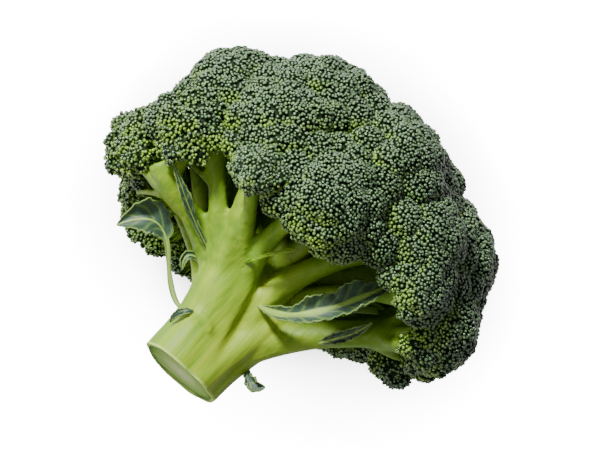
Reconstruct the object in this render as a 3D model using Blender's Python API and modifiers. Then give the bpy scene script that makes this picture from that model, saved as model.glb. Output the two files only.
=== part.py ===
"""Broccoli head: a cut stem whose side branches each carry one domed cluster of buds, a floret.

The head is drawn upright: its growth axis is +Z, the middle of the cut face is the origin, and
the side that ends up on top faces -Y. It is then laid on its side, on the florets that carry it.
Lengths are in millimetres until point() turns them into metres. A direction round the stem, an
azimuth, is in degrees from -Y towards +X.
"""

import math
from dataclasses import dataclass

import bmesh
import bpy
from mathutils import Matrix, Vector

MM = 0.001
GAP = 0.3  # between pieces that touch

# The crown of florets is a half ellipsoid on the plane of its rim.
RIM_HEIGHT = 48
CROWN_RADIUS = 82
CROWN_HEIGHT = 94

# The head lies with its stem raised by this angle, and its axis this far above the surface.
STEM_RAISED = 15.4
FLOOR_DISTANCE = 86
PRESSED_FLAT = 1.2  # how much a floret that carries the head is flattened

# Stem: (height, radius) from the cut face up, then the closed top inside the crown.
STEM_PROFILE = [
    (0, 17.4), (1.2, 18.0), (14, 18.2), (26, 20.0), (37, 23.5), (46, 25.5),
    (54, 24.5), (62, 20.5), (70, 15.0), (77, 9.5), (81, 4.0),
]
STEM_SIDES = 28
FLUTES = 5
FLUTE_DEPTH = 0.05  # of the radius, where the flutes are deepest

# Florets and branches
HEAD_DEPTH = 0.95  # how deep a floret is from its tip to its underside, in its radii
SPHERE_SEGMENTS = 20
SPHERE_RINGS = 12
LOBES = 5
LOBE_HEIGHT = 0.025  # of the radius
BRANCH_POINTS = 8
BRANCH_RADIUS = 0.29  # at its base, in its floret's radii
BRANCH_WAIST = 0.8  # where the branch is thinnest, of the radius at its base
BRANCH_WAIST_PLACE = 0.6  # how far along it is thinnest
BRANCH_FLARE = 1.25  # where it meets the floret, of the radius at its base
BRANCH_STRAIGHT = 0.35  # the share of its reach that points along the floret's axis
OVERSHOOT = 3  # how far a branch runs into its floret before it is cut off there
NEIGHBOURS = 1.15  # florets nearer than this, in their radii together, press on each other

LEAF_THICKNESS = 0.9
LEAF_ROWS = 10
LEAF_TIP_WIDTH = 0.25  # of the blade's half width
LEAF_FULLNESS = 0.8  # below 1, the blade is widest on the stalk's side of its middle


DOWN = Vector((0, math.cos(math.radians(STEM_RAISED)), math.sin(math.radians(STEM_RAISED))))
HUB = Vector((0, 0, 30))  # the branches spread from about here


@dataclass
class Floret:
    """A dome of buds. polar is the angle from the crown's top, and reach moves the tip in or out."""

    name: str
    azimuth: float
    polar: float
    reach: float
    radius: float
    tier: int  # 1 leaves the stem at the rim, 2 higher up, 3 at the top
    carries: bool = False

    def centre(self):
        turn, fall = math.radians(self.azimuth), math.radians(self.polar)
        x = math.sin(fall) * math.sin(turn)
        y = -math.sin(fall) * math.cos(turn)
        z = math.cos(fall)
        normal = Vector((x / CROWN_RADIUS, y / CROWN_RADIUS, z / CROWN_HEIGHT)).normalized()
        tip = Vector((x * CROWN_RADIUS, y * CROWN_RADIUS, z * CROWN_HEIGHT)) * self.reach
        centre = Vector((0, 0, RIM_HEIGHT)) + tip - normal * self.radius
        if self.carries:
            centre += DOWN * (FLOOR_DISTANCE + PRESSED_FLAT - centre.dot(DOWN) - self.radius)
        return centre

    def axis(self):
        return (self.centre() - HUB).normalized()

    def underside(self):
        """The middle of the flat face that the branch meets."""
        return self.centre() + self.axis() * self.radius * (1 - HEAD_DEPTH)


FLORETS = [
    Floret("front_middle", -1, 69, 0.99, 21, 1),
    Floret("front_small", -23, 78, 0.99, 11, 1),
    Floret("front_left", -34, 59, 1.04, 25, 1),
    Floret("left_upper", -61, 75, 1.06, 19, 1),
    Floret("left_side", -79, 83, 1.06, 19, 1),
    Floret("front_right", 42, 56, 1.04, 22, 1),
    Floret("right_small", 47, 70, 1.01, 14, 1),
    Floret("right_lower", 71, 71, 1.10, 22, 1),
    Floret("right_side", 93, 65, 1.08, 25, 1),
    Floret("back_right_rim", 133, 62, 0.98, 26, 1),
    Floret("back_rim", 170, 73, 0.98, 27, 1, True),
    Floret("back_left_rim", -153, 75, 0.98, 26, 1, True),
    Floret("left_lower", -112, 78, 0.97, 26, 1),
    Floret("left_shoulder", -66, 58, 1.12, 24, 2),
    Floret("top_left", -40, 38, 1.08, 28, 2),
    Floret("top_middle", 13, 42, 1.06, 22, 2),
    Floret("right_shoulder", 76, 50, 1.12, 28, 2),
    Floret("back_right", 118, 46, 1.02, 27, 2),
    Floret("back_shoulder", 166, 42, 0.97, 29, 2, True),
    Floret("back_left", -98, 53, 1.08, 28, 2),
    Floret("back_left_shoulder", -140, 47, 0.99, 27, 2, True),
    Floret("top_front", 8, 28, 1.03, 26, 3),
    Floret("crown_top", 80, 22, 1.04, 26, 3),
    Floret("crown_back", -120, 16, 1.03, 28, 3),
]


@dataclass
class Leaf:
    """A strip along a curve through four control points. Its first part, stalk, is narrow."""

    name: str
    path: list
    half_width: float
    stalk: float = 0.0  # the share of its length that is bare stalk
    stalk_half_width: float = 1.4
    fold: float = 0.3  # how far its edges rise over the midrib, in half widths


LEAVES = [
    Leaf("right_leaf", [(6, -17, 38), (21, -36, 33), (32, -52, 54), (38, -46, 66)], 5.0, fold=0.8),
    Leaf("left_leaf", [(-16, -3, 20), (-31, 0, 20), (-43, -4, 58), (-56, 4, 36)], 8.0, stalk=0.5),
    Leaf("branch_leaf", [(-22, -17, 41), (-34, -25, 45), (-43, -34, 48), (-53, -38, 50)], 2.0),
    Leaf("curled_leaf", [(-21, -6, 27), (-27, -7, 28), (-29, -6, 32), (-26, -6, 34)], 2.2),
    Leaf("thin_stalk", [(-8, -24, 44), (-8, -36, 44), (-4, -44, 50), (2, -46, 56)], 1.0),
    Leaf("torn_flap", [(-12, -15, 12), (-15, -18, 13), (-16, -20, 18), (-13, -23, 23)], 3.5),
    Leaf("leaf_stub", [(17, -5, 20), (23, -6, 21), (26, -7, 16), (23, -9, 10)], 3.2),
    Leaf("folded_leaf", [(29, -23, 45), (35, -30, 45), (42, -32, 48), (49, -30, 52)], 4.0, fold=0.8),
]

# Where the branches of each tier start inside the stem: (distance from the axis, height).
BRANCH_START = {1: (9, 26), 2: (6, 52), 3: (3, 66)}
BRANCH_RISE = {1: 16, 2: 12, 3: 6}  # how far a branch climbs along the stem before it turns out


def point(x, y, z):
    return Vector((x, y, z)) * MM


def remove_everything():
    for thing in list(bpy.data.objects):
        bpy.data.objects.remove(thing)


def collection(name):
    made = bpy.data.collections.new(name)
    bpy.context.scene.collection.children.link(made)
    return made


def material(name, colour, roughness):
    made = bpy.data.materials.new(name)
    made.use_nodes = True
    shader = made.node_tree.nodes["Principled BSDF"]
    shader.inputs["Base Color"].default_value = (*colour, 1)
    shader.inputs["Roughness"].default_value = roughness
    shader.inputs["Metallic"].default_value = 0
    return made


def object_from(bm, name, group, surface=None):
    """An object that holds bm's mesh, shaded smooth apart from its sharp edges."""
    bmesh.ops.recalc_face_normals(bm, faces=bm.faces)
    mesh = bpy.data.meshes.new(name)
    bm.to_mesh(mesh)
    bm.free()
    mesh.shade_smooth()
    mesh.set_sharp_from_angle(angle=math.radians(40))
    made = bpy.data.objects.new(name, mesh)
    group.objects.link(made)
    if surface:
        mesh.materials.append(surface)
    return made


def cut(bm, place, normal):
    """Cuts off what lies beyond the plane on its normal's side, and closes the cut."""
    made = bmesh.ops.bisect_plane(
        bm,
        geom=[*bm.verts, *bm.edges, *bm.faces],
        plane_co=place * MM,
        plane_no=normal,
        dist=1e-7,
        clear_outer=True,
    )
    edges = [e for e in made["geom_cut"] if isinstance(e, bmesh.types.BMEdge)]
    if edges:
        bmesh.ops.holes_fill(bm, edges=edges, sides=0)


def cut_between_florets(bm, floret):
    """Keeps the floret's own side of the planes where its sphere meets its neighbours' spheres."""
    for other in FLORETS:
        across = other.centre() - floret.centre()
        apart = across.length
        if other is floret or apart > NEIGHBOURS * (floret.radius + other.radius):
            continue
        share = (apart**2 + floret.radius**2 - other.radius**2) / (2 * apart)
        normal = across.normalized()
        cut(bm, floret.centre() + normal * (share - GAP / 2), normal)


def facing(normal):
    """The rotation that turns +Z to this direction."""
    return normal.to_track_quat("Z", "Y").to_matrix().to_4x4()


def floret_head(floret, group, surface):
    """A lobed dome, cut flat where it presses on its neighbours, below, and where it lies."""
    bm = bmesh.new()
    bmesh.ops.create_uvsphere(
        bm, u_segments=SPHERE_SEGMENTS, v_segments=SPHERE_RINGS, radius=floret.radius * MM
    )
    for v in bm.verts:
        turn = math.atan2(v.co.y, v.co.x)
        side = 1 - (v.co.z / (floret.radius * MM)) ** 2
        v.co *= 1 + LOBE_HEIGHT * side * math.cos(LOBES * turn + math.radians(floret.azimuth))
    bm.transform(Matrix.Translation(floret.centre() * MM) @ facing(floret.axis()))
    cut_between_florets(bm, floret)
    cut(bm, floret.underside(), -floret.axis())
    cut(bm, DOWN * FLOOR_DISTANCE, DOWN)
    return object_from(bm, "floret_" + floret.name, group, surface)


def stem_mesh(name, group, surface=None, swell=0.0):
    """The stem, turned from its profile and fluted. swell makes it larger all round."""
    heights = [(z - swell if z == 0 else z, r + swell) for z, r in STEM_PROFILE]
    top = STEM_PROFILE[-1][0] + 1 + swell
    outline = [(0, top), *[(r, z) for z, r in reversed(heights)], (0, heights[0][0])]
    mesh = bpy.data.meshes.new(name)
    edges = [(i, i + 1) for i in range(len(outline) - 1)]
    mesh.from_pydata([point(r, 0, z) for r, z in outline], edges, [])
    made = bpy.data.objects.new(name, mesh)
    group.objects.link(made)
    turned = made.modifiers.new("turned", "SCREW")
    turned.steps = turned.render_steps = STEM_SIDES
    turned.use_merge_vertices = True
    turned.merge_threshold = 0.00001
    bpy.context.view_layer.update()
    evaluated = made.evaluated_get(bpy.context.evaluated_depsgraph_get())
    solid = bpy.data.meshes.new_from_object(evaluated)
    bpy.data.objects.remove(made)
    bm = bmesh.new()
    bm.from_mesh(solid)
    bmesh.ops.remove_doubles(bm, verts=bm.verts, dist=0.00001)
    for v in bm.verts:
        height = min(max(v.co.z / (RIM_HEIGHT * MM), 0), 1)
        depth = FLUTE_DEPTH * height * (1 + math.cos(FLUTES * math.atan2(v.co.x, -v.co.y))) / 2
        v.co.x *= 1 - depth
        v.co.y *= 1 - depth
    return object_from(bm, name, group, surface)


def bezier(points, t):
    a, b, c, d = points
    s = 1 - t
    return a * s**3 + b * 3 * s * s * t + c * 3 * s * t * t + d * t**3


def branch_path(floret):
    """The branch's middle line: up along the stem, then out to the floret's underside."""
    turn = math.radians(floret.azimuth)
    out = Vector((math.sin(turn), -math.cos(turn), 0))
    offset, height = BRANCH_START[floret.tier]
    start = out * offset + Vector((0, 0, height))
    end = floret.underside() + floret.axis() * OVERSHOOT
    reach = (end - start).length
    rise = start + Vector((0, 0, BRANCH_RISE[floret.tier])) + out * offset
    return [start, rise, end - floret.axis() * reach * BRANCH_STRAIGHT, end]


def tube(name, places, radii, group):
    """A curve object with a round section of its own radius at each place."""
    curve = bpy.data.curves.new(name, "CURVE")
    curve.dimensions = "3D"
    curve.bevel_depth = MM
    curve.bevel_resolution = 2
    curve.use_fill_caps = True
    spline = curve.splines.new("POLY")
    spline.points.add(len(places) - 1)
    for p, place, radius in zip(spline.points, places, radii):
        p.co = (*place * MM, 1)
        p.radius = radius
    made = bpy.data.objects.new(name, curve)
    group.objects.link(made)
    return made


def mesh_of_tube(curve):
    """The curve's mesh with its caps welded on, as a bmesh. The curve object is removed."""
    bpy.context.view_layer.update()
    evaluated = curve.evaluated_get(bpy.context.evaluated_depsgraph_get())
    mesh = bpy.data.meshes.new_from_object(evaluated)
    bpy.data.objects.remove(curve)
    bm = bmesh.new()
    bm.from_mesh(mesh)
    bmesh.ops.remove_doubles(bm, verts=bm.verts, dist=0.00001)
    return bm


def branch_radius(floret, t):
    """Narrows to the waist half way along, then flares to the floret."""
    base = BRANCH_RADIUS * floret.radius
    if t < BRANCH_WAIST_PLACE:
        return base * (1 - (1 - BRANCH_WAIST) * t / BRANCH_WAIST_PLACE)
    rest = (t - BRANCH_WAIST_PLACE) / (1 - BRANCH_WAIST_PLACE)
    return base * (BRANCH_WAIST + (BRANCH_FLARE - BRANCH_WAIST) * rest**2)


def branch(floret, group, surface, stem_cutter):
    """A branch, cut where it presses on the next branches and where it leaves the stem."""
    steps = [i / (BRANCH_POINTS - 1) for i in range(BRANCH_POINTS)]
    places = [bezier(branch_path(floret), t) for t in steps]
    radii = [branch_radius(floret, t) for t in steps]
    bm = mesh_of_tube(tube("branch", places, radii, group))
    cut_between_florets(bm, floret)
    cut(bm, floret.underside() - floret.axis() * GAP, floret.axis())
    cut(bm, DOWN * FLOOR_DISTANCE, DOWN)
    made = object_from(bm, "branch_" + floret.name, group, surface)
    trimmed = made.modifiers.new("leaves_stem", "BOOLEAN")
    trimmed.operation = "DIFFERENCE"
    trimmed.object = stem_cutter
    return made


def half_width(leaf, t):
    """Narrow along the stalk, then widest in the middle of the blade."""
    if t < leaf.stalk:
        return leaf.stalk_half_width
    along = (t - leaf.stalk) / (1 - leaf.stalk)
    blade = leaf.half_width * max(math.sin(math.pi * along**LEAF_FULLNESS), LEAF_TIP_WIDTH)
    return max(blade, min(leaf.stalk_half_width, leaf.half_width))


def leaf_blade(leaf, group, surface, stem_cutter):
    """A grid laid along the leaf's curve and thickened, cut where it leaves the stem."""
    path = [Vector(p) for p in leaf.path]
    towards_front = Vector((0, -1, 0))
    bm = bmesh.new()
    bmesh.ops.create_grid(bm, x_segments=2, y_segments=LEAF_ROWS, size=1)
    for v in bm.verts:
        t = (v.co.y + 1) / 2
        tangent = (bezier(path, min(t + 0.01, 1.01)) - bezier(path, t - 0.01)).normalized()
        side = tangent.cross(towards_front).normalized()
        rise = side.cross(tangent).normalized()
        width = half_width(leaf, t)
        across = side * v.co.x + rise * abs(v.co.x) * leaf.fold
        v.co = (bezier(path, t) + across * width) * MM
    made = object_from(bm, leaf.name, group, surface)
    thick = made.modifiers.new("thick", "SOLIDIFY")
    thick.thickness = LEAF_THICKNESS * MM
    thick.offset = 0
    trimmed = made.modifiers.new("leaves_stem", "BOOLEAN")
    trimmed.operation = "DIFFERENCE"
    trimmed.object = stem_cutter
    return made


def lay_down(pieces, cutters):
    """Parents all to an empty that lays the head on the surface, then centres the pieces."""
    laid = bpy.data.objects.new("laid_on_its_side", None)
    bpy.context.scene.collection.objects.link(laid)
    laid.rotation_euler = (-math.radians(90 + STEM_RAISED), 0, 0)
    laid.location = point(0, 0, FLOOR_DISTANCE)
    for thing in [*pieces, *cutters]:
        thing.parent = laid
    bpy.context.view_layer.update()
    places = [p.matrix_world @ v.co for p in pieces for v in p.data.vertices]
    for axis in (0, 1):
        along = [place[axis] for place in places]
        laid.location[axis] -= (min(along) + max(along)) / 2


def main():
    remove_everything()
    head = collection("broccoli_head")
    cutters = collection("cutters")
    flesh = material("stem_flesh", (0.42, 0.56, 0.16), 0.45)
    buds = material("buds", (0.05, 0.12, 0.05), 0.7)
    green = material("leaf_green", (0.06, 0.16, 0.06), 0.5)

    stem = stem_mesh("main_stem", head, flesh)
    stem_cutter = stem_mesh("stem_cutter", cutters, swell=GAP)
    stem_cutter.hide_render = True
    stem_cutter.display_type = "WIRE"

    pieces = [stem]
    for floret in FLORETS:
        pieces.append(floret_head(floret, head, buds))
        pieces.append(branch(floret, head, flesh, stem_cutter))
    for leaf in LEAVES:
        pieces.append(leaf_blade(leaf, head, green, stem_cutter))
    lay_down(pieces, [stem_cutter])


main()
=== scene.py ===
"""The looks of the broccoli head: buds, branches, stem, leaves, materials, light and camera.

Places are worked out in the head's own upright axes, in millimetres, as in part.py: +Z grows from
the cut face to the crown, and -Y is the side that lies on top. to_world() turns them into the
frame's metres. The head's place in the frame comes from the CAD stem's cut face.
"""

import math
from dataclasses import dataclass, field

import bmesh
import bpy
import numpy as np
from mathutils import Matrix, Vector


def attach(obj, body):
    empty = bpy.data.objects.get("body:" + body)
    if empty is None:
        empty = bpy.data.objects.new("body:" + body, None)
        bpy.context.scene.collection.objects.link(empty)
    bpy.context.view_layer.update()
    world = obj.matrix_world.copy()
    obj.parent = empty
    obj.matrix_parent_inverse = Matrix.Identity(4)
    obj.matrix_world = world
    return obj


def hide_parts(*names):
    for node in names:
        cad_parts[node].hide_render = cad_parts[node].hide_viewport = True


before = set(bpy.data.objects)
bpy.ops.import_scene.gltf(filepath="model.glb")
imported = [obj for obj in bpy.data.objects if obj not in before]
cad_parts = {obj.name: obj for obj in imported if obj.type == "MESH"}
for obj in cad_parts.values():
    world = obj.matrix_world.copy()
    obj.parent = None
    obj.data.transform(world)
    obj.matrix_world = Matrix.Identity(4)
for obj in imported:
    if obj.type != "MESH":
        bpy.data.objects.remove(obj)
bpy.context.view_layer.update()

MM = 0.001
SEED = 20

# The head's lie and its crown, as part.py lays them out
STEM_RAISED = math.radians(15.4)
RIM_HEIGHT = 48
CROWN_RADIUS = 82
CROWN_HEIGHT = 94
RIM_CENTRE = np.array([0, 0, RIM_HEIGHT])
CROWN_SEMI = np.array([CROWN_RADIUS, CROWN_RADIUS, CROWN_HEIGHT])
HUB = np.array([0, 0, 30.0])  # where the florets' axes start
FLOOR_DISTANCE = 86  # from the cut face's middle down to what the head lies on
FLOOR_CLEARANCE = 0.75  # between a bud's middle and what the head lies on
PRESSED_FLAT = 1.2  # how much of the florets that carry the head is pressed flat
DOWN = np.array([0, math.cos(STEM_RAISED), math.sin(STEM_RAISED)])

# The crown's surface
BLEND = 3.0  # how softly one floret's dome runs into the next
CREASE_FLOOR = 0.95  # the creases between the domes go no deeper than this share of the crown
CREASE_TAPER = 0.16  # how much that share falls towards the rim
CREASE_FOOT = 16  # how high above the rim the creases begin to be filled
SURFACE_STEPS = 12  # steps of the search for the surface
CANDIDATE_SPACING = 2.2

# Clusters of buds
CLUSTER_SPACING = 9.0
CLUSTER_RADIUS = 9.6
BUD_SPACING = 1.55
BUD_RADIUS = 0.75
BUD_PACKING = 0.866  # the area that a bud takes up, in its spacing squared
SEAM_OVERLAP = 0.9  # how far a bud may sit inside the next cluster
BUD_RINGS = [(-0.7, 0.6), (0.0, 1.0), (0.5, 0.86), (0.82, 0.5)]  # (height, width) in bud radii
BUD_SIDES = 7


@dataclass
class Floret:
    """A dome of buds on the crown, at an azimuth from -Y and a polar angle from the crown's top."""

    name: str
    azimuth: float
    polar: float
    reach: float  # where its tip is, in the crown's radii
    radius: float
    tier: int  # 1 at the rim, 3 at the top
    carries: bool = False  # whether the head rests on it
    loose: float = 0.0  # how far its clusters stand apart
    centre: np.ndarray = field(init=False)
    axis: np.ndarray = field(init=False)

    def __post_init__(self):
        turn, fall = math.radians(self.azimuth), math.radians(self.polar)
        out = np.array([
            math.sin(fall) * math.sin(turn),
            -math.sin(fall) * math.cos(turn),
            math.cos(fall),
        ])
        tip = RIM_CENTRE + out * CROWN_SEMI * self.reach
        self.centre = tip - unit(out / CROWN_SEMI) * self.radius
        if self.carries:
            self.centre += DOWN * (FLOOR_DISTANCE + PRESSED_FLAT - self.centre @ DOWN - self.radius)
        self.axis = unit(self.centre - HUB)


def unit(v):
    v = np.asarray(v, dtype=float)
    return v / np.linalg.norm(v, axis=-1, keepdims=True)


FLORETS = [
    Floret("front_middle", -1, 69, 0.99, 21, 1),
    Floret("front_small", -23, 78, 0.99, 11, 1, loose=0.3),
    Floret("front_left", -34, 59, 1.04, 25, 1, loose=0.3),
    Floret("left_upper", -61, 75, 1.06, 19, 1, loose=0.7),
    Floret("left_side", -79, 83, 1.06, 19, 1, loose=1.0),
    Floret("front_right", 42, 56, 1.04, 22, 1),
    Floret("right_small", 47, 70, 1.01, 14, 1),
    Floret("right_lower", 71, 71, 1.10, 22, 1, loose=0.4),
    Floret("right_side", 93, 65, 1.08, 25, 1),
    Floret("back_right_rim", 133, 62, 0.98, 26, 1),
    Floret("back_rim", 170, 73, 0.98, 27, 1, True),
    Floret("back_left_rim", -153, 75, 0.98, 26, 1, True),
    Floret("left_lower", -112, 78, 0.97, 26, 1, loose=0.6),
    Floret("left_shoulder", -66, 58, 1.12, 24, 2),
    Floret("top_left", -40, 38, 1.08, 28, 2),
    Floret("top_middle", 13, 42, 1.06, 22, 2),
    Floret("right_shoulder", 76, 50, 1.12, 28, 2),
    Floret("back_right", 118, 46, 1.02, 27, 2),
    Floret("back_shoulder", 166, 42, 0.97, 29, 2, True),
    Floret("back_left", -98, 53, 1.08, 28, 2),
    Floret("back_left_shoulder", -140, 47, 0.99, 27, 2, True),
    Floret("top_front", 8, 28, 1.03, 26, 3),
    Floret("crown_top", 80, 22, 1.04, 26, 3),
    Floret("crown_back", -120, 16, 1.03, 28, 3),
]


# ---------------------------------------------------------------- places and directions

AXIS = np.array([0, math.cos(STEM_RAISED), -math.sin(STEM_RAISED)])
FRONT = np.array([0, math.sin(STEM_RAISED), math.cos(STEM_RAISED)])
HEAD_AXES = np.array([[1.0, 0, 0], -FRONT, AXIS])  # the head's x, y and z in the frame


def cut_face_centre():
    """The middle of the CAD stem's cut face, in the frame's metres."""
    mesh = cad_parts["main_stem"].data
    places = np.empty(len(mesh.vertices) * 3)
    mesh.vertices.foreach_get("co", places)
    places = places.reshape(-1, 3)
    along = places @ AXIS
    return places[along < along.min() + 0.1 * MM].mean(axis=0)


BASE = cut_face_centre()


def to_world(points):
    """Head millimetres to the frame's metres."""
    return BASE + np.asarray(points) @ HEAD_AXES * MM


def cross_axes(directions):
    """Two directions square to each given direction, and to each other."""
    d = np.atleast_2d(directions)
    helper = np.where(np.abs(d[:, 2:3]) < 0.9, [[0.0, 0, 1]], [[1.0, 0, 0]])
    a = unit(np.cross(helper, d))
    return a, np.cross(d, a)


def spiral_directions(count, pole, turn=0.0):
    """Directions spread evenly over a sphere in a golden-angle spiral about the pole."""
    i = np.arange(count)
    height = 1 - (2 * i + 1) / count
    across = np.sqrt(1 - height**2)
    angle = i * math.pi * (3 - math.sqrt(5)) + turn
    a, b = cross_axes(pole)
    return (
        np.outer(height, pole)
        + np.outer(across * np.cos(angle), a[0])
        + np.outer(across * np.sin(angle), b[0])
    )


def smooth(low, high, x):
    """Rises from 0 at low to 1 at high, or falls where high is the lower."""
    t = np.clip((x - low) / (high - low), 0, 1)
    return t * t * (3 - 2 * t)


def bezier(points, t):
    """Places along the curve with these three or four control points."""
    p = [np.asarray(x, dtype=float) for x in points]
    t = np.asarray(t, dtype=float)[..., None]
    s = 1 - t
    if len(p) == 3:
        return p[0] * s**2 + p[1] * 2 * s * t + p[2] * t**2
    return p[0] * s**3 + p[1] * 3 * s * s * t + p[2] * 3 * s * t * t + p[3] * t**3


# ---------------------------------------------------------------- meshes from arrays


class Builder:
    """Collects vertices, faces and colour values of many small shapes into one mesh."""

    def __init__(self):
        self.places, self.faces, self.looks, self.materials, self.count = [], [], [], [], 0

    def add(self, places, quads, looks, material=0, fans=None):
        """places (n, 3), quads (m, 4) and fans (k, 3) into them, looks (n, 3) in 0..1."""
        for faces in (quads, fans):
            if faces is not None:
                self.faces.append(faces + self.count)
                self.materials.append(np.full(len(faces), material))
        self.places.append(places)
        self.looks.append(np.broadcast_to(looks, (len(places), 3)))
        self.count += len(places)

    def object(self, name, materials):
        """Makes the mesh object. The looks go into the colour attribute "look"."""
        mesh = bpy.data.meshes.new(name)
        places = to_world(np.concatenate(self.places))
        places[:, 2] = np.maximum(places[:, 2], 0)  # pressed flat where it would sink in
        corners = np.concatenate([f.reshape(-1) for f in self.faces])
        sizes = np.concatenate([np.full(len(f), f.shape[1]) for f in self.faces])
        starts = np.concatenate([[0], np.cumsum(sizes)[:-1]])
        mesh.vertices.add(len(places))
        mesh.vertices.foreach_set("co", places.reshape(-1))
        mesh.loops.add(len(corners))
        mesh.loops.foreach_set("vertex_index", corners)
        mesh.polygons.add(len(sizes))
        mesh.polygons.foreach_set("loop_start", starts)
        for material in materials:
            mesh.materials.append(material)
        mesh.polygons.foreach_set("material_index", np.concatenate(self.materials))
        mesh.update(calc_edges=True)
        mesh.shade_smooth()
        looks = np.concatenate(self.looks)
        colours = np.hstack([looks, np.ones((len(looks), 1))])
        attribute = mesh.color_attributes.new("look", "FLOAT_COLOR", "POINT")
        attribute.data.foreach_set("color", colours.reshape(-1))
        made = bpy.data.objects.new(name, mesh)
        bpy.context.scene.collection.objects.link(made)
        return made


def ring_faces(rings, sides, first, last):
    """Quads between rings of vertices, with a fan to vertex first and one to vertex last."""
    j = np.arange(sides)
    k = (j + 1) % sides
    quads = [
        np.stack([r * sides + j, r * sides + k, (r + 1) * sides + k, (r + 1) * sides + j], 1)
        for r in range(rings - 1)
    ]
    top = (rings - 1) * sides
    foot_fan = np.stack([np.full(sides, first), k, j], 1)
    top_fan = np.stack([np.full(sides, last), top + j, top + k], 1)
    return np.concatenate(quads), np.concatenate([foot_fan, top_fan])


def bud_template():
    """A bud along +Z about the origin, in bud radii: places, quads, triangles, heights 0..1."""
    angle = np.arange(BUD_SIDES) * 2 * math.pi / BUD_SIDES
    rings = []
    for i, (height, width) in enumerate(BUD_RINGS):
        turned = angle + i * 0.5
        flat = [width * np.cos(turned), width * np.sin(turned), np.full(BUD_SIDES, height)]
        rings.append(np.stack(flat, 1))
    places = np.concatenate([*rings, [[0, 0, -1.0], [0, 0, 0.98]]])
    n = len(BUD_RINGS) * BUD_SIDES
    quads, fans = ring_faces(len(BUD_RINGS), BUD_SIDES, n, n + 1)
    return places, quads, fans, (places[:, 2] + 1) / 2


def add_buds(builder, places, directions, radii, looks, stretch=1.0):
    """One bud at each place, along its direction. looks (n, 2): lightness and yellowness."""
    template, quads, fans, heights = bud_template()
    template = template * [1, 1, stretch]
    a, b = cross_axes(directions)
    spin = np.modf(np.arange(len(places)) * 0.618)[0][:, None] * 2 * math.pi  # golden turns
    a, b = a * np.cos(spin) + b * np.sin(spin), b * np.cos(spin) - a * np.sin(spin)
    r = radii[:, None, None]
    points = places[:, None, :] + r * (
        template[None, :, 0:1] * a[:, None, :]
        + template[None, :, 1:2] * b[:, None, :]
        + template[None, :, 2:3] * directions[:, None, :]
    )
    n, m = len(places), len(template)
    look = np.empty((n, m, 3))
    look[..., :2] = looks[:, None, :]
    look[..., 2] = heights
    offsets = (np.arange(n) * m)[:, None, None]
    quads, fans = (quads + offsets).reshape(-1, 4), (fans + offsets).reshape(-1, 3)
    builder.add(points.reshape(-1, 3), quads, look.reshape(-1, 3), 0, fans)


def add_tube(builder, path, radii, sides, looks, material=0, ridges=None):
    """A closed tube along a path (n, 3). ridges(angle, t) is added to its radius, in radii."""
    path = np.asarray(path)
    n = len(path)
    tangent = unit(np.gradient(path, axis=0))
    a, b = cross_axes(tangent[:1])
    a = a[0]
    angle = np.arange(sides) * 2 * math.pi / sides
    rings = []
    for i in range(n):
        a = unit(a - tangent[i] * (a @ tangent[i]))
        b = np.cross(tangent[i], a)
        r = radii[i] * (1 if ridges is None else 1 + ridges(angle, i / (n - 1)))
        r = np.broadcast_to(r, sides)
        rings.append(path[i] + np.outer(r * np.cos(angle), a) + np.outer(r * np.sin(angle), b))
    places = np.concatenate([*rings, path[:1], path[-1:]])
    quads, fans = ring_faces(n, sides, n * sides, n * sides + 1)
    looks = np.asarray(looks, dtype=float)
    if looks.ndim == 2:
        looks = np.concatenate([np.repeat(looks, sides, axis=0), looks[:1], looks[-1:]])
    builder.add(places, quads, looks, material, fans)


# ---------------------------------------------------------------- florets


@dataclass
class Cluster:
    """A small dome of buds on a floret."""

    floret: Floret
    direction: np.ndarray
    radius: float
    centre: np.ndarray
    shade: float
    rim: float  # 1 at the floret's lower edge
    open: float  # 0 where its buds are tight, 1 where they stand apart on bare stalks


CENTRES = np.array([f.centre for f in FLORETS])
RADII = np.array([f.radius for f in FLORETS])


def crown_distance(points):
    """How far points are outside the crown, its normals there, and the nearest floret.

    The florets' domes run softly into each other, over half an ellipsoid that fills the creases.
    """
    away = points[:, None] - CENTRES
    length = np.linalg.norm(away, axis=2)
    depth = length - RADII
    nearest = depth.argmin(axis=1)
    from_middle = points - RIM_CENTRE
    low = smooth(3 * CREASE_FOOT, CREASE_FOOT, from_middle[:, 2:])
    semi = CROWN_SEMI * (CREASE_FLOOR - CREASE_TAPER * low)
    share = np.linalg.norm(from_middle / semi, axis=1)
    slope = from_middle / semi**2
    filler = share * (share - 1) / np.linalg.norm(slope, axis=1)
    filler = np.maximum(filler, CREASE_FOOT - from_middle[:, 2])
    depth = np.concatenate([depth, filler[:, None]], axis=1)
    normals = np.concatenate([away / length[..., None], unit(slope)[:, None]], axis=1)
    near = depth.min(axis=1, keepdims=True)
    weight = np.exp(-(depth - near) / BLEND)
    total = weight.sum(axis=1, keepdims=True)
    normal = ((weight / total)[..., None] * normals).sum(axis=1)
    return (near - BLEND * np.log(total))[:, 0], unit(normal), nearest


def crown_points(index):
    """Points spread closely over a floret's part of the crown's surface, and their normals."""
    floret = FLORETS[index]
    count = round(4 * math.pi * floret.radius**2 / CANDIDATE_SPACING**2)
    out = spiral_directions(count, floret.axis)
    out = out[out @ floret.axis > -0.2]
    reach = np.full(len(out), float(floret.radius))
    for _ in range(SURFACE_STEPS):
        distance, _, _ = crown_distance(floret.centre + out * reach[:, None])
        reach -= distance
    places = floret.centre + out * reach[:, None]
    _, normals, nearest = crown_distance(places)
    own = nearest == index
    return places[own], normals[own]


# Tufts that hang below the crown's rim: (floret, centre, direction, radius)
TUFTS = [
    ("right_side", (60, 8, 61), (-0.3, -0.3, -1.0), 7.5),
    ("right_side", (66, 2, 59), (0.1, -0.3, -1.0), 7.0),
    ("left_lower", (-42, 12, 38), (0.3, -0.2, -1.0), 7.0),
    ("left_lower", (-50, 11, 37), (-0.1, -0.3, -1.0), 6.5),
]


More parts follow.
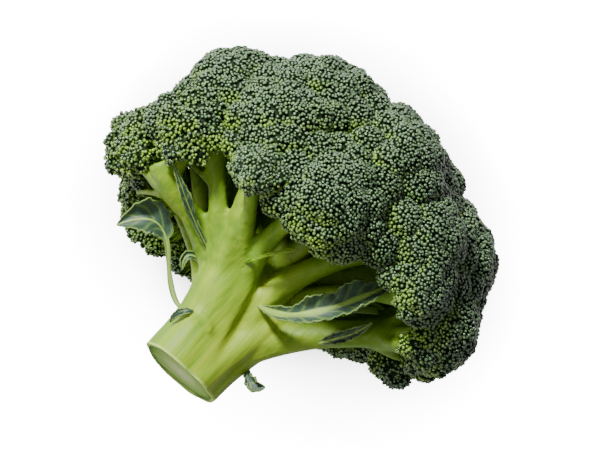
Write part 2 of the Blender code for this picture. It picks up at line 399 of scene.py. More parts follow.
def clusters_of_crown(rng):
    """Clusters all over the crown, none too near another."""
    tips, normals, owners = [], [], []
    for index in range(len(FLORETS)):
        places, directions = crown_points(index)
        tips.append(places)
        normals.append(directions)
        owners.append(np.full(len(places), index))
    tips, normals, owners = np.concatenate(tips), np.concatenate(normals), np.concatenate(owners)
    order = rng.permutation(len(tips))
    taken = np.empty((len(tips), 3))
    made = []
    for i in order:
        floret = FLORETS[owners[i]]
        small = min(1.0, floret.radius / 20)
        rim = float(smooth(0.45, 0.0, normals[i] @ floret.axis))
        looseness = min(1.0, 0.75 * floret.loose + 0.5 * rim)
        scale = small * (1 - 0.22 * rim) * (1 - 0.25 * floret.loose)
        spacing = CLUSTER_SPACING * scale * rng.uniform(0.85, 1.15)
        if made and (np.linalg.norm(taken[: len(made)] - tips[i], axis=1) < spacing).any():
            continue
        taken[len(made)] = tips[i]
        radius = CLUSTER_RADIUS * scale * rng.uniform(0.9, 1.1) * (1 - 0.2 * looseness)
        proud = (0.5 + 1.0 * rim + 0.9 * floret.loose) * rng.uniform(-1, 0.7)
        direction = unit(normals[i] + rng.normal(0, 0.05 + 0.12 * rim, 3))
        centre = tips[i] - direction * (radius - proud)
        made.append(Cluster(floret, direction, radius, centre, rng.uniform(0, 1), rim, looseness))
    for name, centre, direction, radius in TUFTS:
        floret = next(f for f in FLORETS if f.name == name)
        centre, shade = np.array(centre, dtype=float), rng.uniform(0, 1)
        made.append(Cluster(floret, unit(direction), radius, centre, shade, 1.0, 0.6))
    return made


def buds_of(cluster, centres, radii, rng):
    """Where the cluster's buds sit: places and directions, clear of the other clusters."""
    count = round(4 * math.pi * cluster.radius**2 / (BUD_SPACING**2 * BUD_PACKING))
    out = spiral_directions(count, cluster.direction, rng.uniform(0, 6))
    out = unit(out + rng.normal(0, 0.2 * BUD_SPACING / cluster.radius, out.shape))
    edge = out @ cluster.direction
    out = out[(edge > 0.02) & (rng.uniform(0, 1, len(out)) > 0.3 * cluster.open)]
    uneven = 0.32 + 0.9 * cluster.open
    reach = cluster.radius - 0.5 + rng.uniform(-uneven, 0.32, (len(out), 1))
    places = cluster.centre + out * reach
    apart = np.linalg.norm(centres - cluster.centre, axis=1)
    near = (apart < cluster.radius + radii) & (apart > 1e-6)
    gaps = np.linalg.norm(places[:, None] - centres[near][None], axis=2) - radii[near]
    clear = (gaps > -SEAM_OVERLAP).all(axis=1)
    return keep_above_floor(places[clear], FLOOR_CLEARANCE), out[clear]


def keep_above_floor(places, clearance):
    """Lifts places to at least this far above what the head lies on."""
    height = FLOOR_DISTANCE - places @ DOWN
    return places + np.outer(np.minimum(height - clearance, 0), DOWN)


def floret_piece(floret, clusters, centres, radii, materials, rng):
    """A floret's clusters, with their buds, bodies, stalks and sprigs, as one piece."""
    builder = Builder()
    fork = floret.centre - floret.axis * floret.radius * 0.35
    for cluster in (c for c in clusters if c.floret is floret):
        places, out = buds_of(cluster, centres, radii, rng)
        if len(places) == 0:
            continue
        below = smooth(0.55, -0.15, out @ floret.axis)
        yellow = below * rng.uniform(0.1, 1.0) + cluster.open * rng.uniform(-0.1, 0.5)
        yellow = np.clip(yellow + rng.normal(0, 0.09, len(out)), 0, 1)
        light = np.clip(cluster.shade * 0.45 + rng.uniform(0, 0.55, len(out)), 0, 1)
        size = BUD_RADIUS * rng.uniform(0.78, 1.18, len(out))
        tilt = unit(out + rng.normal(0, 0.12 + 0.15 * cluster.open, out.shape))
        stretch = 1 + 0.35 * cluster.open
        add_buds(builder, places, tilt, size, np.stack([light, yellow], 1), stretch)
        add_cap(builder, cluster, fork)
        add_pedicels(builder, cluster, places, out, rng)
        add_fingers(builder, cluster, rng)
    piece = builder.object("floret_" + floret.name + "_buds", materials)
    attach(piece, "root")
    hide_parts("floret_" + floret.name)
    return piece


# A cluster's body under its buds: (distance along its direction, width) in its radii
CAP_PROFILE = [
    (-1.25, 0.10), (-0.95, 0.15), (-0.62, 0.30), (-0.3, 0.55), (-0.02, 0.80),
    (0.22, 0.84), (0.46, 0.74), (0.65, 0.57), (0.79, 0.35), (0.85, 0.15),
]
CAP_SIDES = 12
STALK_STEPS = 5


def add_cap(builder, cluster, fork):
    """The body under a cluster's buds, drawn out into the stalk that it grows on."""
    d, c = cluster.direction, cluster.centre
    r = cluster.radius * (1 - 0.14 * cluster.open)
    top = c + d * r * CAP_PROFILE[0][0]
    reach = np.linalg.norm(top - fork)
    control = fork + cluster.floret.axis * reach * 0.35 + unit(top - fork) * reach * 0.2
    steps = np.linspace(0, 1, STALK_STEPS, endpoint=False)
    stalk = bezier([fork, control, top], steps)
    along, across = np.array(CAP_PROFILE).T
    body = np.array([c + d * r * a for a in along])
    width = np.concatenate([np.linspace(1.6, r * 0.11, STALK_STEPS), r * across])
    path = keep_above_floor(np.concatenate([stalk, body]), width)
    # Painted shade: the body turns to the stalks' near-black green under the buds.
    green = np.concatenate([np.zeros(STALK_STEPS), smooth(-0.9, 0.3, along)])
    looks = np.stack([np.full(len(path), cluster.shade), green, np.zeros(len(path))], 1)

    def ridges(angle, t):
        return 0.10 * np.cos(6 * angle) * (t > 0.3) * (t < 0.85)

    add_tube(builder, path, width, CAP_SIDES, looks, material=1, ridges=ridges)


# Painted shade: pedicels turn towards the stalks' near-black green as they near the bud.
PEDICEL_LOOKS = [[0.5, 0.0, 0.5], [0.5, 0.2, 0.5], [0.5, 0.5, 0.5]]  # greener towards the bud
PEDICEL_RADII = [0.5, 0.36, 0.42]


def add_pedicels(builder, cluster, places, out, rng):
    """Thin stalks under the buds round a cluster's edge, and under all buds of an open cluster."""
    seen = out @ cluster.direction < 0.62 + 0.4 * cluster.open
    seen &= rng.uniform(0, 1, len(out)) < 0.6 + 0.4 * cluster.open
    foot = cluster.centre - cluster.direction * cluster.radius * 0.45
    for place, direction in zip(places[seen], out[seen]):
        start = foot + cluster.direction * rng.uniform(-3, 1)
        bend = start + direction * cluster.radius * 0.55
        path = bezier([start, bend, place - direction * 0.5], np.array([0.25, 0.6, 1]))
        add_tube(builder, path, PEDICEL_RADII, 4, PEDICEL_LOOKS, material=1)


FINGERS = 9  # the most that a cluster has
# Painted shade: a sprig turns a little towards the stalks' near-black green at its tip.
FINGER_LOOKS = [[0.6, 0.0, 0.5]] * 4 + [[0.6, 0.2, 0.5]]
FINGER_RADII = [0.8, 0.65, 0.55, 0.5, 0.6]
TIP_BUDS = 5


def add_fingers(builder, cluster, rng):
    """Bare sprigs that stick out round an open cluster, each with a tuft of buds on its end."""
    count = round(FINGERS * cluster.open * rng.uniform(0.4, 1))
    if not count:
        return
    a, b = cross_axes(cluster.direction)
    for turn in rng.uniform(0, 2 * math.pi, count):
        side = a[0] * math.cos(turn) + b[0] * math.sin(turn)
        away = unit(side * rng.uniform(0.7, 1.1) + cluster.direction * rng.uniform(-0.5, 0.5))
        start = cluster.centre - cluster.direction * cluster.radius * rng.uniform(0.3, 0.7)
        tip = cluster.centre + away * cluster.radius * rng.uniform(0.8, 1.05)
        bend = start + (away + cluster.direction * 0.4) * cluster.radius * 0.4
        path = keep_above_floor(bezier([start, bend, tip], np.linspace(0, 1, 5)), 1.5)
        add_tube(builder, path, FINGER_RADII, 6, FINGER_LOOKS, material=1)
        spread = unit(unit(path[-1] - path[-2]) + rng.normal(0, 0.5, (TIP_BUDS, 3)))
        places = keep_above_floor(path[-1] + spread * BUD_RADIUS, FLOOR_CLEARANCE)
        looks = np.stack([rng.uniform(0.2, 1, TIP_BUDS), rng.uniform(0.2, 0.9, TIP_BUDS)], 1)
        size = BUD_RADIUS * rng.uniform(0.75, 1.05, TIP_BUDS)
        add_buds(builder, places, spread, size, looks, 1.25)


# ---------------------------------------------------------------- stem and branches


@dataclass
class Limb:
    """A tube of flesh along four control points, with its radius at even steps along it."""

    path: list
    radii: list
    ridge: float = 0.05  # how deep its long ridges are, of its radius


# The trunk is grown together from a left, a right and a back part, with a groove down the front,
# and a core that runs up between the branches.
TRUNK = [
    Limb(
        [(-2, -2, -4), (-3, -5, 14), (-7, -9, 28), (-12, -13, 50)],
        [15.6, 14.4, 12.4, 11.4, 11.8, 11.0],
    ),
    Limb(
        [(3, -1, -4), (6, -1, 12), (12, -3, 28), (15, -4, 44)],
        [14.8, 13.6, 12.0, 11.2, 10.6, 9.0],
    ),
    Limb([(0, 3, -4), (0, 6, 14), (-1, 9, 30), (-2, 10, 52)], [14.8, 14.0, 13.5, 14.0, 14.5, 13.0]),
    Limb([(0, 0, 36), (0, 0, 48), (0, 0, 62), (0, 0, 80)], [14.0, 16.0, 14.0, 9.0, 4.0]),
]

# Branches that show, by the floret that each one ends in
BRANCHES = {
    "left_upper": Limb(
        [(-19, -8, 44), (-33, -14, 49), (-45, -30, 45), (-59, -30, 53)],
        [8.8, 6.2, 4.4, 4.4, 5.8],
    ),
    "left_side": Limb(
        [(-42, -21, 47), (-52, -25, 47), (-60, -18, 48), (-66, -14, 54)],
        [4.0, 3.2, 3.0, 4.2],
    ),
    "left_shoulder": Limb(
        [(-18, -15, 44), (-27, -23, 52), (-38, -34, 61), (-50, -30, 76)],
        [7.2, 4.8, 3.8, 3.8, 5.0],
    ),
    "front_left": Limb(
        [(-14, -17, 42), (-21, -27, 54), (-27, -38, 61), (-29, -38, 80)],
        [6.2, 4.6, 3.7, 3.7, 5.0],
    ),
    "front_small": Limb(
        [(-11, -17, 44), (-16, -28, 55), (-21, -42, 60), (-26, -55, 63)],
        [5.2, 3.6, 2.9, 3.2],
    ),
    "front_middle": Limb(
        [(-6, -14, 42), (-8, -26, 58), (-10, -40, 62), (-2, -50, 71)],
        [6.4, 4.4, 3.6, 5.0],
    ),
    "front_right": Limb(
        [(7, -4, 26), (2, -12, 52), (16, -32, 68), (31, -33, 88)],
        [9.0, 6.6, 4.8, 4.2, 6.0],
    ),
    "right_small": Limb(
        [(9, -2, 42), (15, -5, 55), (24, -14, 66), (45, -41, 71)],
        [5.0, 3.4, 2.8, 3.4],
    ),
    "right_lower": Limb(
        [(9, -2, 20), (21, -7, 39), (38, -16, 52), (59, -19, 68)],
        [9.2, 7.4, 5.8, 5.4, 7.6],
    ),
    "right_side": Limb([(10, 5, 26), (24, 6, 44), (38, 4, 58), (55, 3, 76)], [8.0, 6.0, 5.0, 6.5]),
}

# Forks, thin side shoots and ridges between the branches that show
SHOOTS = [
    Limb([(-41, -20, 48), (-50, -24, 46), (-56, -12, 46), (-60, -2, 44)], [2.3, 1.9, 1.6, 1.2]),
    Limb([(-47, -24, 46), (-55, -27, 46), (-60, -24, 48), (-65, -20, 49)], [2.6, 2.2, 2.0, 2.0]),
    Limb([(-44, -24, 47), (-50, -31, 50), (-54, -33, 54), (-57, -34, 60)], [2.6, 2.2, 2.0, 2.0]),
    Limb([(-18, -6, 42), (-31, -5, 54), (-41, -7, 60), (-50, -9, 69)], [6.0, 4.4, 4.0, 3.6]),
    Limb([(-16, -10, 46), (-24, -12, 56), (-31, -15, 62), (-39, -18, 72)], [4.2, 3.2, 2.8, 2.8]),
    Limb([(-34, -28, 59), (-43, -29, 61), (-52, -27, 61), (-59, -23, 62)], [1.7, 1.5, 1.4, 1.3]),
    Limb([(-36, -29, 60), (-42, -31, 63), (-48, -32, 66), (-54, -31, 70)], [2.2, 1.8, 1.6, 1.6]),
    Limb([(-15, -21, 44), (-18, -27, 49), (-20, -31, 53), (-23, -34, 56)], [2.6, 2.0, 1.3, 0.5]),
    Limb([(-13, -16, 20), (-9, -17, 20), (-5, -18, 19), (-1, -17, 17)], [0.6, 2.2, 1.6, 0.6]),
    Limb([(-9, -18, 21), (-6, -19, 20), (-3, -19, 19), (-1, -19, 17)], [0.4, 0.7, 0.7, 0.4]),
    Limb([(12, -4, 46), (20, -10, 54), (28, -18, 58), (38, -24, 66)], [2.4, 1.8, 1.6, 1.8]),
    Limb([(14, -3, 44), (22, -4, 54), (32, -8, 62), (44, -12, 70)], [3.0, 2.2, 1.8, 2.0]),
    Limb([(46, -15, 58), (50, -20, 59), (54, -24, 60), (58, -28, 60)], [3.4, 2.8, 2.4, 2.2]),
    Limb([(46, -15, 58), (52, -13, 58), (57, -10, 60), (62, -8, 62)], [3.4, 2.8, 2.4, 2.2]),
]

BRANCH_START = {1: (9, 26), 2: (6, 52), 3: (3, 66)}  # (distance from the axis, height) by tier
BRANCH_RISE = {1: 16, 2: 12, 3: 6}
BRANCH_RADIUS = 0.27  # in its floret's radii
BRANCH_RADII = [1.05, 0.85, 0.78, 0.85, 0.95]  # along a branch, in its radius
LIMB_STEPS = 20
LIMB_SIDES = 24
TWIGS = 5
STEM_VOXEL = 1.0
STEM_SOFTENING = 10


def unseen_branch(floret):
    """A branch that the florets hide: up along the stem, then out to its floret."""
    turn = math.radians(floret.azimuth)
    out = np.array([math.sin(turn), -math.cos(turn), 0])
    offset, height = BRANCH_START[floret.tier]
    start = out * offset + [0, 0, height]
    end = floret.centre - floret.axis * floret.radius * 0.12
    rise = start + [0, 0, BRANCH_RISE[floret.tier]] + out * offset
    before = end - floret.axis * np.linalg.norm(end - start) * 0.35
    radius = BRANCH_RADIUS * floret.radius
    return Limb([start, rise, before, end], [radius * r for r in BRANCH_RADII])


def add_limb(builder, limb, rng):
    """Adds the limb's ridged tube, and returns its middle line."""
    steps = np.linspace(0, 1, LIMB_STEPS)
    path = bezier(limb.path, steps)
    radii = np.interp(steps, np.linspace(0, 1, len(limb.radii)), limb.radii)
    phase = rng.uniform(0, 6, 3)

    def ridges(angle, t):
        wave = np.cos(3 * angle + phase[0] + t) + 0.8 * np.cos(5 * angle + phase[1])
        return limb.ridge * (wave + 0.5 * np.cos(8 * angle + phase[2]))

    add_tube(builder, path, radii, LIMB_SIDES, [0.5, 0.5, 0.5], ridges=ridges)
    return path


def add_twigs(builder, floret, fork, rng):
    """The branch's last forks, spread under the floret's dome."""
    a, b = cross_axes(floret.axis)
    first = rng.uniform(0, 6)
    for i in range(TWIGS):
        angle = i * 2 * math.pi / TWIGS + first
        side = a[0] * math.cos(angle) + b[0] * math.sin(angle)
        end = floret.centre + side * floret.radius * 0.55 + floret.axis * floret.radius * 0.12
        middle = fork + floret.axis * floret.radius * 0.25 + side * floret.radius * 0.12
        twig = bezier([fork, middle, end], np.linspace(0, 1, 8))
        add_tube(builder, twig, np.linspace(0.14, 0.07, 8) * floret.radius, 12, [0.5, 0.5, 0.5])


def stem_piece(material, rng):
    """The stem and all branches, joined into one skin."""
    builder = Builder()
    for limb in [*TRUNK, *SHOOTS]:
        add_limb(builder, limb, rng)
    for floret in FLORETS:
        path = add_limb(builder, BRANCHES.get(floret.name) or unseen_branch(floret), rng)
        add_twigs(builder, floret, path[LIMB_STEPS * 3 // 4], rng)
    piece = builder.object("stem_and_branches", [material])
    remesh = piece.modifiers.new("joined", "REMESH")
    remesh.mode = "VOXEL"
    remesh.voxel_size = STEM_VOXEL * MM
    soft = piece.modifiers.new("soft", "SMOOTH")
    soft.factor = 0.5
    soft.iterations = STEM_SOFTENING
    apply_modifiers(piece)
    cut_end(piece)
    piece.data.shade_smooth()
    piece.data.set_sharp_from_angle(angle=math.radians(50))
    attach(piece, "root")
    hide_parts("main_stem", *("branch_" + f.name for f in FLORETS))
    return piece


def apply_modifiers(piece):
    """Replaces the piece's mesh by what its modifiers make of it."""
    bpy.context.view_layer.update()
    evaluated = piece.evaluated_get(bpy.context.evaluated_depsgraph_get())
    mesh = bpy.data.meshes.new_from_object(evaluated)
    piece.modifiers.clear()
    old = piece.data
    piece.data = mesh
    bpy.data.meshes.remove(old)


CUT_RIM = 1.1  # how wide the skin's edge is round the cut face
CUT_SUNK = 0.6  # how far the flesh inside it has shrunk back
CUT_BEVEL = 0.5
CUT_RAGGED = 0.35
CUT_SHORTEST_EDGE = 0.3


def cut_end(piece):
    """Cuts the stem at the CAD stem's cut face, with a ragged skin round flesh that has sunk in."""
    bm = bmesh.new()
    bm.from_mesh(piece.data)
    made = bmesh.ops.bisect_plane(
        bm,
        geom=[*bm.verts, *bm.edges, *bm.faces],
        plane_co=Vector(BASE),
        plane_no=-Vector(AXIS),
        dist=1e-7,
        clear_outer=True,
    )
    rim = [v for v in made["geom_cut"] if isinstance(v, bmesh.types.BMVert)]
    bmesh.ops.remove_doubles(bm, verts=rim, dist=CUT_SHORTEST_EDGE * MM)
    edges = [e for e in bm.edges if e.is_boundary]
    rim = [v for v in bm.verts if v.is_boundary]
    face = bmesh.ops.holes_fill(bm, edges=edges, sides=0)["faces"]
    bmesh.ops.inset_region(bm, faces=face, thickness=CUT_RIM * MM)
    bmesh.ops.inset_region(bm, faces=face, thickness=CUT_BEVEL * MM, depth=-CUT_SUNK * MM)
    bmesh.ops.triangulate(bm, faces=face)
    rng = np.random.default_rng(SEED)
    for vertex in rim:
        vertex.co += Vector(AXIS) * rng.uniform(-0.5, 1) * CUT_RAGGED * MM
    bm.to_mesh(piece.data)
    bm.free()


# ---------------------------------------------------------------- leaves


@dataclass
class Leaf:
    """A blade along four control points. curl is how far each half curls round, in radians."""

    name: str
    path: list
    half_width: float
    widest: float = 0.5
    stalk: float = 0.0  # the share of its length that is bare stalk
    stalk_half_width: float = 1.4
    curl: float = 1.0
    twist: float = 0.0
    teeth: float = 0.08  # how deep the notches in its edge are, in half widths
    swept: float = 0.0  # how far the edges reach back past the foot of the midrib
    rib: float = 0.5  # the light midrib's half width, or 0 for none


LEAVES = [
    Leaf(
        "right_leaf", [(5, -14, 39), (21, -34, 33), (33, -47, 58), (40, -38, 75)],
        7.5, 0.62, curl=1.3, twist=0.4, teeth=0.06, swept=4.0, rib=1.0,
    ),
    Leaf(
        "left_leaf", [(-16, -3, 20), (-31, 0, 20), (-42, -13, 56), (-57, -9, 27)],
        9.0, 0.5, stalk=0.55, stalk_half_width=1.2, curl=1.25, teeth=0.07, rib=0.35,
    ),
    Leaf(
        "branch_leaf", [(-24, -17, 42), (-37, -26, 45), (-45, -34, 49), (-54, -38, 53)],
        2.6, 0.55, curl=1.3, rib=0.15,
    ),
    Leaf(
        "curled_leaf", [(-20, -6, 37), (-27, -9, 41), (-31, -10, 35), (-26, -8, 31)],
        2.6, 0.5, curl=1.5, rib=0.25,
    ),
    Leaf(
        "thin_stalk", [(-9, -20, 46), (-8, -30, 47), (-3, -37, 53), (3, -42, 59)],
        0.75, 0.15, curl=2.6, teeth=0,
    ),
    Leaf(
        "torn_flap", [(-12, -17, 19), (-15, -18, 17), (-17, -16, 14), (-16, -13, 11)],
        2.0, 0.4, stalk_half_width=0.6, curl=1.4, teeth=0.12, rib=0,
    ),
    Leaf(
        "leaf_stub", [(16, -4, 19), (22, -5, 17), (24, -6, 11), (29, -8, 17)],
        4.4, 0.7, stalk_half_width=2.6, curl=1.7, teeth=0.15, rib=0,
    ),
    Leaf(
        "folded_leaf", [(34, -16, 43), (38, -22, 48), (42, -24, 52), (44, -28, 60)],
        4.0, 0.45, curl=1.7, teeth=0.1, rib=0.3,
    ),
]
LEAF_THICKNESS = 0.5
LEAF_ROWS = 96
LEAF_COLUMNS = 25
VEINS_PER_MM = 0.16


def blade_width(leaf, t):
    """The blade's half width along it: narrow on the stalk, then wide, then a tip."""
    along = np.clip((t - leaf.stalk) / (1 - leaf.stalk), 0, 1)
    power = math.log(0.5) / math.log(leaf.widest)
    blade = leaf.half_width * np.sin(np.pi * along**power) ** 0.75
    floor = leaf.stalk_half_width * smooth(1.0, 0.9, t)
    return np.maximum(np.where(t < leaf.stalk, 0, blade), floor)


def leaf_piece(leaf, material, rng):
    """A curled blade with a notched edge, a raised midrib and veins."""
    along = np.linspace(0, 1, LEAF_ROWS)
    middle = bezier(leaf.path, along)
    length = np.linalg.norm(np.diff(middle, axis=0), axis=1).sum()
    tangent = unit(np.gradient(middle, axis=0))
    side = unit(np.cross(tangent, [[0, -1.0, 0]]))
    rise = np.cross(side, tangent)
    turn = (leaf.twist * along)[:, None]
    side, rise = (
        side * np.cos(turn) + rise * np.sin(turn),
        rise * np.cos(turn) - side * np.sin(turn),
    )
    width = blade_width(leaf, along)[:, None]
    phase = rng.uniform(0, 6)

    # From here on rows run along the leaf, and columns across it, by u from -1 to 1
    u = np.linspace(-1, 1, LEAF_COLUMNS)[None, :]
    t = along[:, None]
    at = t * length
    blade = t > leaf.stalk
    notches = np.sin(at * 1.9 + phase) + 0.6 * np.sin(at * 3.7)
    angle = leaf.curl * np.abs(u) * (1 + 0.25 * np.sin(at * 0.35 + phase))
    edge = 1 + leaf.teeth * blade * notches * u**2
    across = np.sign(u) * width * edge * np.sin(angle) / leaf.curl
    vein = np.exp(-((((at - 1.2 * np.abs(u) * width) * VEINS_PER_MM) % 1 - 0.5) / 0.10) ** 2)
    lift = width * (1 - np.cos(angle)) / leaf.curl
    lift += blade * 0.10 * width * u**2 * np.sin(at * 0.9 + phase) * np.sign(u)
    lift += 0.7 * np.exp(-((u * width / 0.8) ** 2)) * (1 - 0.6 * t) - 0.12 * vein * blade
    back = leaf.swept * u**2 * (1 - t) ** 6
    places = middle[:, None] + side[:, None] * across[..., None] + rise[:, None] * lift[..., None]
    places -= tangent[:, None] * back[..., None]
    row, column = np.meshgrid(np.arange(LEAF_ROWS - 1), np.arange(LEAF_COLUMNS - 1), indexing="ij")
    i = (row * LEAF_COLUMNS + column).reshape(-1)
    quads = np.stack([i, i + 1, i + LEAF_COLUMNS + 1, i + LEAF_COLUMNS], 1)

    if leaf.rib:
        from_rib = np.abs(u) * width / (4 * leaf.rib) + 0.12 * t
    else:
        from_rib = np.ones((LEAF_ROWS, LEAF_COLUMNS))
    from_edge = (1 - np.abs(u)) * np.maximum(width, 3) / 3
    on_stalk = (1 - smooth(leaf.stalk - 0.02, leaf.stalk + 0.06, t)) * (1 - 0.5 * np.abs(u))
    pale = np.maximum(vein * 0.4 * blade, on_stalk * (leaf.stalk > 0))
    looks = np.stack([np.clip(from_rib, 0, 1), pale, np.clip(from_edge, 0, 1)], 2)
    builder = Builder()
    builder.add(places.reshape(-1, 3), quads, looks.reshape(-1, 3))
    piece = builder.object(leaf.name + "_blade", [material])
    thick = piece.modifiers.new("thick", "SOLIDIFY")
    thick.thickness = LEAF_THICKNESS * MM
    thick.offset = 0
    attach(piece, "root")
    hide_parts(leaf.name)
    return piece


# ---------------------------------------------------------------- materials


class Nodes:
    """A short way to write a material's nodes."""

    def __init__(self, name):
        self.material = bpy.data.materials.new(name)
        self.material.use_nodes = True
        self.tree = self.material.node_tree
        self.shader = self.tree.nodes["Principled BSDF"]

    def add(self, kind, inputs=None, **settings):
        node = self.tree.nodes.new(kind)
        for key, value in settings.items():
            setattr(node, key, value)
        for key, value in (inputs or {}).items():
            self.put(value, node.inputs[key])
        return node

    def put(self, value, socket):
        if isinstance(value, bpy.types.NodeSocket):
            self.tree.links.new(value, socket)
        else:
            socket.default_value = value

    def set(self, **values):
        for key, value in values.items():
            self.put(value, self.shader.inputs[key.replace("_", " ")])

    def mix(self, factor, a, b, blend="MIX"):
        node = self.add("ShaderNodeMix", data_type="RGBA", blend_type=blend)
        self.put(factor, node.inputs[0])
        self.put(a, node.inputs[6])
        self.put(b, node.inputs[7])
        return node.outputs[2]

    def math(self, operation, *values):
        inputs = dict(enumerate(values))
        return self.add("ShaderNodeMath", inputs, operation=operation).outputs[0]

    def vector(self, operation, *values):
        inputs = dict(enumerate(values))
        node = self.add("ShaderNodeVectorMath", inputs, operation=operation)
        return node.outputs["Value" if operation == "LENGTH" else "Vector"]

    def rising(self, value, low, high):
        """0 up to low, 1 from high on, or the other way round where high is the lower."""
        node = self.add("ShaderNodeMapRange", {"From Min": low, "From Max": high})
        self.put(value, node.inputs["Value"])
        return node.outputs[0]

    def ramp(self, factor, stops):
        """A colour by the factor, from (place, colour) stops in rising order."""
        node = self.add("ShaderNodeValToRGB")
        elements = node.color_ramp.elements
        for i in (-1, 0):
            elements[i].position = stops[i][0]
            elements[i].color = (*stops[i][1], 1)
        for place, colour in stops[1:-1]:
            elements.new(place).color = (*colour, 1)
        self.put(factor, node.inputs[0])
        return node.outputs[0]

    def noise(self, scale, detail, vector=None):
        node = self.add("ShaderNodeTexNoise", {"Scale": scale, "Detail": detail})
        if vector is not None:
            self.put(vector, node.inputs["Vector"])
        return node.outputs["Fac"]

    def look(self):
        """The three looks that the mesh carries at each vertex."""
        colour = self.add("ShaderNodeVertexColor", layer_name="look").outputs["Color"]
        split = self.add("ShaderNodeSeparateColor")
        self.put(colour, split.inputs[0])
        return split.outputs

    def head_place(self):
        """Where a point is in the head's own axes, in metres from the cut face."""
        place = self.add("ShaderNodeTexCoord").outputs["Object"]
        moved = self.vector("SUBTRACT", place, Vector(BASE))
        turn = {"Vector": moved, "Angle": math.pi / 2 + STEM_RAISED}
        return self.add("ShaderNodeVectorRotate", turn, rotation_type="X_AXIS").outputs[0]

    def bump(self, height, strength, distance):
        inputs = {"Strength": strength, "Distance": distance, "Height": height}
        self.put(self.add("ShaderNodeBump", inputs).outputs[0], self.shader.inputs["Normal"])


def bud_material():
    """Painted shade at the foot, green round the sides, and a grey waxy bloom with a painted
    highlight on the tip.
    """
    n = Nodes("buds")
    light, yellow, height = n.look()
    green = n.mix(light, (0.008, 0.030, 0.008, 1), (0.030, 0.080, 0.022, 1))
    patch = n.ramp(n.noise(60.0, 2.0), [(0.35, (0, 0, 0)), (0.7, (1, 1, 1))])
    green = n.mix(n.math("MULTIPLY", patch, 0.4), green, (0.040, 0.105, 0.018, 1))
    fresh = n.mix(light, (0.055, 0.150, 0.008, 1), (0.20, 0.38, 0.020, 1))
    colour = n.mix(yellow, green, fresh)
    # The tip: a grey waxy bloom, made light enough to be a painted highlight on each bud.
    bloom = n.ramp(height, [(0.74, (0, 0, 0)), (0.99, (1, 1, 1))])
    bloom = n.math("MULTIPLY", bloom, n.math("MULTIPLY_ADD", light, 0.5, 0.5))
    colour = n.mix(bloom, colour, n.mix(yellow, (0.17, 0.27, 0.145, 1), (0.34, 0.52, 0.06, 1)))
    # Painted shade: the bud's lower part darkens to near black, as shade between the buds.
    foot = n.ramp(height, [(0.34, (0.02, 0.02, 0.02)), (0.74, (1, 1, 1))])
    n.put(n.mix(1.0, colour, foot, "MULTIPLY"), n.shader.inputs["Base Color"])
    n.set(Roughness=0.24, Specular_IOR_Level=0.8)
    n.bump(n.noise(2500.0, 2.0), 0.35, 0.0002)
    return n.material


# The flesh's colour by its streaks, and the cut face's by the distance from the stem's axis
FLESH = [
    (0.34, (0.13, 0.27, 0.010)),
    (0.46, (0.20, 0.35, 0.014)),
    (0.56, (0.30, 0.43, 0.022)),
    (0.70, (0.46, 0.54, 0.050)),
]
CUT_RADIUS = 20  # millimetres to the end of the next colours' scale
CUT_FACE = [
    (0.00, (0.50, 0.58, 0.27)),  # pith
    (0.30, (0.38, 0.51, 0.15)),
    (0.65, (0.23, 0.39, 0.06)),
    (0.78, (0.09, 0.21, 0.02)),  # the ring of vessels
    (0.83, (0.40, 0.54, 0.12)),  # rind
]


def stem_material():
    """Streaked flesh, greener towards the florets, with painted shade on its right side, and a cut
    face of pith inside a darker ring.
    """
    n = Nodes("stem_flesh")
    head = n.head_place()
    x, _, z = n.add("ShaderNodeSeparateXYZ", {0: head}).outputs
    stretched = n.vector("MULTIPLY", head, (1, 1, 0.08))
    streak = n.noise(300.0, 5.0, stretched)
    broad = n.noise(45.0, 2.0, stretched)
    both = n.math("ADD", n.math("MULTIPLY", streak, 0.5), n.math("MULTIPLY", broad, 0.5))
    colour = n.ramp(both, FLESH)
    up = n.math("MULTIPLY", n.rising(z, 35 * MM, 75 * MM), 0.72)
    colour = n.mix(up, colour, (0.12, 0.25, 0.014, 1))
    # Painted shade: the stem's right side, which faces away from the light, darkens to a deeper
    # green.
    right = n.math("MULTIPLY", n.rising(x, 8 * MM, 30 * MM), 0.55)
    colour = n.mix(right, colour, (0.10, 0.22, 0.014, 1))
    from_axis = n.vector("LENGTH", n.vector("MULTIPLY", head, (1, 1, 0)))
    grain = n.math("SUBTRACT", n.math("MULTIPLY", n.noise(300.0, 3.0), 0.12), 0.06)
    face = n.ramp(n.math("ADD", n.math("DIVIDE", from_axis, CUT_RADIUS * MM), grain), CUT_FACE)
    on_cut = n.rising(z, 1.0 * MM, 0.8 * MM)
    n.put(n.mix(on_cut, colour, face), n.shader.inputs["Base Color"])
    n.put(n.math("MULTIPLY_ADD", on_cut, 0.4, 0.5), n.shader.inputs["Roughness"])
    n.set(Specular_IOR_Level=0.3, Subsurface_Weight=0.15)
    n.set(Subsurface_Radius=(0.8, 1.0, 0.3), Subsurface_Scale=3 * MM)
    n.bump(streak, 0.7, 0.8 * MM)
    return n.material


def stalk_material():
    """Stalks under the buds: light flesh that turns to a near-black green, painted shade among the
    buds, by the look's second value.
    """
    n = Nodes("stalks")
    _, green, _ = n.look()
    flesh = n.mix(n.noise(400.0, 2.0), (0.13, 0.30, 0.014, 1), (0.34, 0.52, 0.04, 1))
    # Painted shade: the near-black green where the stalks meet the buds.
    n.put(n.mix(green, flesh, (0.005, 0.018, 0.003, 1)), n.shader.inputs["Base Color"])
    n.set(Roughness=0.75, Specular_IOR_Level=0.2)
    return n.material


